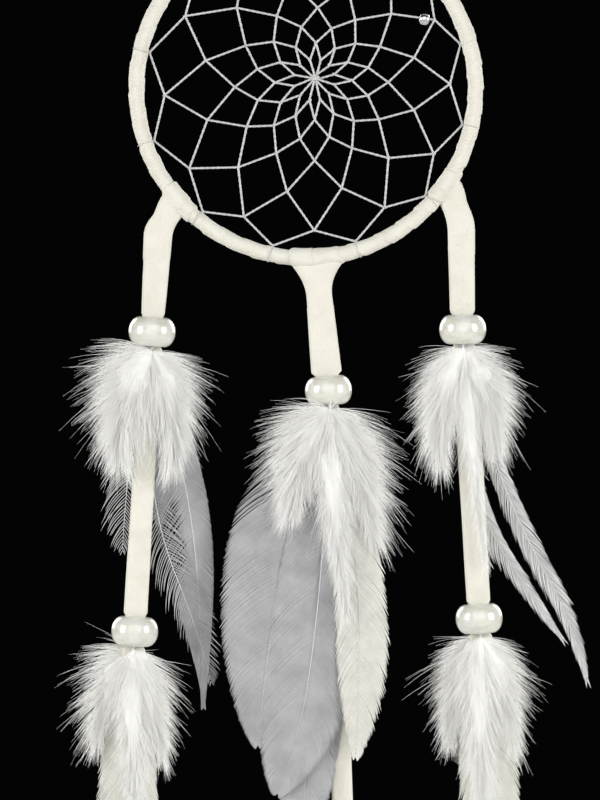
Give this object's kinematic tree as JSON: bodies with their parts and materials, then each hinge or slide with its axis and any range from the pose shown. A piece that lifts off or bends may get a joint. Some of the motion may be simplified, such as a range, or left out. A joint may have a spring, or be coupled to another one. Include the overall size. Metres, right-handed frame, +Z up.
{
  "type": "dream catcher",
  "caption": "Hanging dream catcher: leather-wrapped hoop with a knotted thread web and three leather drops of pearl beads and white feathers.",
  "frame": {"origin": "the inner top of the wrapped hoop, where it rests on a hook or a hanging cord", "axes": "+Z up, opposite to the way the drops hang; front faces -Y; +X is to the right seen from the front"},
  "size_m": [0.1019, 0.0094, 0.2496],
  "materials": {
    "steel": "satin",
    "leather": "soft matte suede",
    "thread": "waxed",
    "silver": "polished",
    "pearl": "pearlescent gloss",
    "down": "fluffy down",
    "vane": "translucent barbs"
  },
  "bodies": {
    "hoop": {"hoop_ring": "steel", "hoop_wrap": "leather", "web_thread": "thread", "left_hitch": "leather", "centre_hitch": "leather", "right_hitch": "leather"},
    "web_bead": {"web_bead": "silver"},
    "left_lace": {"left_lace": "leather"},
    "left_upper_bead": {"left_upper_bead": "pearl"},
    "left_upper_down_left": {"left_upper_down_left": "down"},
    "left_upper_down_right": {"left_upper_down_right": "down"},
    "left_upper_side_vane": {"left_upper_side_vane": "vane"},
    "left_upper_long_vane": {"left_upper_long_vane": "vane"},
    "left_upper_barbed_vane": {"left_upper_barbed_vane": "vane"},
    "left_lower_bead": {"left_lower_bead": "pearl"},
    "left_lower_down_front": {"left_lower_down_front": "down"},
    "left_lower_down_right": {"left_lower_down_right": "down"},
    "left_lower_vane": {"left_lower_vane": "vane"},
    "left_lower_down_left": {"left_lower_down_left": "down"},
    "centre_lace": {"centre_lace": "leather"},
    "centre_upper_bead": {"centre_upper_bead": "pearl"},
    "centre_upper_down_front": {"centre_upper_down_front": "down"},
    "centre_upper_down_left": {"centre_upper_down_left": "down"},
    "centre_upper_down_right": {"centre_upper_down_right": "down"},
    "centre_cream_vane": {"centre_cream_vane": "vane"},
    "centre_grey_vane_front": {"centre_grey_vane_front": "vane"},
    "centre_grey_vane_left": {"centre_grey_vane_left": "vane"},
    "centre_grey_vane_long": {"centre_grey_vane_long": "vane"},
    "centre_lower_bead": {"centre_lower_bead": "pearl"},
    "centre_lower_down_left": {"centre_lower_down_left": "down"},
    "centre_lower_down_right": {"centre_lower_down_right": "down"},
    "centre_lower_vane": {"centre_lower_vane": "vane"},
    "right_lace": {"right_lace": "leather"},
    "right_upper_bead": {"right_upper_bead": "pearl"},
    "right_upper_down_front": {"right_upper_down_front": "down"},
    "right_upper_down_left": {"right_upper_down_left": "down"},
    "right_upper_down_right": {"right_upper_down_right": "down"},
    "right_upper_inner_vane": {"right_upper_inner_vane": "vane"},
    "right_upper_outer_vane": {"right_upper_outer_vane": "vane"},
    "right_lower_bead": {"right_lower_bead": "pearl"},
    "right_lower_down_front": {"right_lower_down_front": "down"},
    "right_lower_down_right": {"right_lower_down_right": "down"},
    "right_lower_vane": {"right_lower_vane": "vane"},
    "right_lower_down_left": {"right_lower_down_left": "down"}
  },
  "joints": [
    {"name": "web_bead_slide", "type": "slide", "parent": "hoop", "child": "web_bead", "axis": [-0.9905, 0, 0.1375], "range_m": [0, 0.0052]},
    {"name": "left_drop_swing", "type": "hinge", "parent": "hoop", "child": "left_lace", "pos_m": [-0.02949, 0, -0.05993], "axis": [-1, 0, 0], "range_deg": [-60, 60]},
    {"name": "left_upper_bead_slide", "type": "slide", "parent": "left_lace", "child": "left_upper_bead", "axis": [0.061, 0, 0.9981], "range_m": [0, 0.003]},
    {"name": "left_upper_down_left_lift", "type": "hinge", "parent": "left_lace", "child": "left_upper_down_left", "pos_m": [-0.031, -0.00153, -0.08464], "axis": [-1, 0, 0], "range_deg": [0, 40]},
    {"name": "left_upper_down_right_lift", "type": "hinge", "parent": "left_lace", "child": "left_upper_down_right", "pos_m": [-0.031, -0.00103, -0.08464], "axis": [-1, 0, 0], "range_deg": [0, 35.7]},
    {"name": "left_upper_side_vane_lift", "type": "hinge", "parent": "left_lace", "child": "left_upper_side_vane", "pos_m": [-0.031, 0.00202, -0.08464], "axis": [1, 0, 0], "range_deg": [0, 35]},
    {"name": "left_upper_long_vane_lift", "type": "hinge", "parent": "left_lace", "child": "left_upper_long_vane", "pos_m": [-0.031, 0.00153, -0.08464], "axis": [1, 0, 0], "range_deg": [0, 31.3]},
    {"name": "left_upper_barbed_vane_lift", "type": "hinge", "parent": "left_lace", "child": "left_upper_barbed_vane", "pos_m": [-0.031, 0.00103, -0.08464], "axis": [1, 0, 0], "range_deg": [0, 27.1]},
    {"name": "left_lower_bead_slide", "type": "slide", "parent": "left_lace", "child": "left_lower_bead", "axis": [0.0576, 0, 0.9983], "range_m": [0, 0.003]},
    {"name": "left_lower_down_front_lift", "type": "hinge", "parent": "left_lace", "child": "left_lower_down_front", "pos_m": [-0.03446, -0.00153, -0.14454], "axis": [-1, 0, 0], "range_deg": [0, 40]},
    {"name": "left_lower_down_right_lift", "type": "hinge", "parent": "left_lace", "child": "left_lower_down_right", "pos_m": [-0.03446, -0.00103, -0.14454], "axis": [-1, 0, 0], "range_deg": [0, 35.7]},
    {"name": "left_lower_vane_lift", "type": "hinge", "parent": "left_lace", "child": "left_lower_vane", "pos_m": [-0.03446, 0.00153, -0.14454], "axis": [1, 0, 0], "range_deg": [0, 35]},
    {"name": "left_lower_down_left_lift", "type": "hinge", "parent": "left_lace", "child": "left_lower_down_left", "pos_m": [-0.03446, 0.00103, -0.14454], "axis": [1, 0, 0], "range_deg": [0, 31.3]},
    {"name": "centre_drop_swing", "type": "hinge", "parent": "hoop", "child": "centre_lace", "pos_m": [0.00239, 0, -0.07098], "axis": [-1, 0, 0], "range_deg": [-60, 60]},
    {"name": "centre_upper_bead_slide", "type": "slide", "parent": "centre_lace", "child": "centre_upper_bead", "axis": [-0.0958, 0, 0.9954], "range_m": [0, 0.003]},
    {"name": "centre_upper_down_front_lift", "type": "hinge", "parent": "centre_lace", "child": "centre_upper_down_front", "pos_m": [0.00484, -0.00402, -0.09641], "axis": [-1, 0, 0], "range_deg": [0, 40]},
    {"name": "centre_upper_down_left_lift", "type": "hinge", "parent": "centre_lace", "child": "centre_upper_down_left", "pos_m": [0.00484, -0.00352, -0.09641], "axis": [-1, 0, 0], "range_deg": [0, 35.7]},
    {"name": "centre_upper_down_right_lift", "type": "hinge", "parent": "centre_lace", "child": "centre_upper_down_right", "pos_m": [0.00484, -0.00302, -0.09641], "axis": [-1, 0, 0], "range_deg": [0, 30.9]},
    {"name": "centre_cream_vane_lift", "type": "hinge", "parent": "centre_lace", "child": "centre_cream_vane", "pos_m": [0.00484, -0.00252, -0.09641], "axis": [-1, 0, 0], "range_deg": [0, 26.1]},
    {"name": "centre_grey_vane_front_lift", "type": "hinge", "parent": "centre_lace", "child": "centre_grey_vane_front", "pos_m": [0.00484, -0.00202, -0.09641], "axis": [-1, 0, 0], "range_deg": [0, 21.3]},
    {"name": "centre_grey_vane_left_lift", "type": "hinge", "parent": "centre_lace", "child": "centre_grey_vane_left", "pos_m": [0.00484, -0.00153, -0.09641], "axis": [-1, 0, 0], "range_deg": [0, 16.5]},
    {"name": "centre_grey_vane_long_lift", "type": "hinge", "parent": "centre_lace", "child": "centre_grey_vane_long", "pos_m": [0.00484, -0.00103, -0.09641], "axis": [-1, 0, 0], "range_deg": [0, 11.7]},
    {"name": "centre_lower_bead_slide", "type": "slide", "parent": "centre_lace", "child": "centre_lower_bead", "axis": [-0.0332, 0, 0.9995], "range_m": [0, 0.003]},
    {"name": "centre_lower_down_left_lift", "type": "hinge", "parent": "centre_lace", "child": "centre_lower_down_left", "pos_m": [0.00806, -0.00153, -0.19436], "axis": [-1, 0, 0], "range_deg": [0, 40]},
    {"name": "centre_lower_down_right_lift", "type": "hinge", "parent": "centre_lace", "child": "centre_lower_down_right", "pos_m": [0.00806, -0.00103, -0.19436], "axis": [-1, 0, 0], "range_deg": [0, 35.7]},
    {"name": "centre_lower_vane_lift", "type": "hinge", "parent": "centre_lace", "child": "centre_lower_vane", "pos_m": [0.00806, 0.00103, -0.19436], "axis": [1, 0, 0], "range_deg": [0, 35]},
    {"name": "right_drop_swing", "type": "hinge", "parent": "hoop", "child": "right_lace", "pos_m": [0.03104, 0, -0.05885], "axis": [-1, 0, 0], "range_deg": [-60, 60]},
    {"name": "right_upper_bead_slide", "type": "slide", "parent": "right_lace", "child": "right_upper_bead", "axis": [-0.014, 0, 0.9999], "range_m": [0, 0.003]},
    {"name": "right_upper_down_front_lift", "type": "hinge", "parent": "right_lace", "child": "right_upper_down_front", "pos_m": [0.03139, -0.00202, -0.0842], "axis": [-1, 0, 0], "range_deg": [0, 40]},
    {"name": "right_upper_down_left_lift", "type": "hinge", "parent": "right_lace", "child": "right_upper_down_left", "pos_m": [0.03139, -0.00153, -0.0842], "axis": [-1, 0, 0], "range_deg": [0, 35.7]},
    {"name": "right_upper_down_right_lift", "type": "hinge", "parent": "right_lace", "child": "right_upper_down_right", "pos_m": [0.03139, -0.00103, -0.0842], "axis": [-1, 0, 0], "range_deg": [0, 30.9]},
    {"name": "right_upper_inner_vane_lift", "type": "hinge", "parent": "right_lace", "child": "right_upper_inner_vane", "pos_m": [0.03139, 0.00153, -0.0842], "axis": [1, 0, 0], "range_deg": [0, 35]},
    {"name": "right_upper_outer_vane_lift", "type": "hinge", "parent": "right_lace", "child": "right_upper_outer_vane", "pos_m": [0.03139, 0.00103, -0.0842], "axis": [1, 0, 0], "range_deg": [0, 31.3]},
    {"name": "right_lower_bead_slide", "type": "slide", "parent": "right_lace", "child": "right_lower_bead", "axis": [-0.0593, 0, 0.9982], "range_m": [0, 0.003]},
    {"name": "right_lower_down_front_lift", "type": "hinge", "parent": "right_lace", "child": "right_lower_down_front", "pos_m": [0.03484, -0.00153, -0.142], "axis": [-1, 0, 0], "range_deg": [0, 40]},
    {"name": "right_lower_down_right_lift", "type": "hinge", "parent": "right_lace", "child": "right_lower_down_right", "pos_m": [0.03484, -0.00103, -0.142], "axis": [-1, 0, 0], "range_deg": [0, 35.7]},
    {"name": "right_lower_vane_lift", "type": "hinge", "parent": "right_lace", "child": "right_lower_vane", "pos_m": [0.03484, 0.00153, -0.142], "axis": [1, 0, 0], "range_deg": [0, 35]},
    {"name": "right_lower_down_left_lift", "type": "hinge", "parent": "right_lace", "child": "right_lower_down_left", "pos_m": [0.03484, 0.00103, -0.142], "axis": [1, 0, 0], "range_deg": [0, 31.3]}
  ],
  "couplings": [
    {"joint": "left_upper_down_right_lift", "follows": "left_upper_down_left_lift", "ratio": 0.88},
    {"joint": "left_upper_long_vane_lift", "follows": "left_upper_side_vane_lift", "ratio": 0.88},
    {"joint": "left_upper_barbed_vane_lift", "follows": "left_upper_side_vane_lift", "ratio": 0.76},
    {"joint": "left_lower_down_right_lift", "follows": "left_lower_down_front_lift", "ratio": 0.88},
    {"joint": "left_lower_down_left_lift", "follows": "left_lower_vane_lift", "ratio": 0.88},
    {"joint": "centre_upper_down_left_lift", "follows": "centre_upper_down_front_lift", "ratio": 0.88},
    {"joint": "centre_upper_down_right_lift", "follows": "centre_upper_down_front_lift", "ratio": 0.76},
    {"joint": "centre_cream_vane_lift", "follows": "centre_upper_down_front_lift", "ratio": 0.64},
    {"joint": "centre_grey_vane_front_lift", "follows": "centre_upper_down_front_lift", "ratio": 0.52},
    {"joint": "centre_grey_vane_left_lift", "follows": "centre_upper_down_front_lift", "ratio": 0.4},
    {"joint": "centre_grey_vane_long_lift", "follows": "centre_upper_down_front_lift", "ratio": 0.28},
    {"joint": "centre_lower_down_right_lift", "follows": "centre_lower_down_left_lift", "ratio": 0.88},
    {"joint": "right_upper_down_left_lift", "follows": "right_upper_down_front_lift", "ratio": 0.88},
    {"joint": "right_upper_down_right_lift", "follows": "right_upper_down_front_lift", "ratio": 0.76},
    {"joint": "right_upper_outer_vane_lift", "follows": "right_upper_inner_vane_lift", "ratio": 0.88},
    {"joint": "right_lower_down_right_lift", "follows": "right_lower_down_front_lift", "ratio": 0.88},
    {"joint": "right_lower_down_left_lift", "follows": "right_lower_vane_lift", "ratio": 0.88}
  ]
}
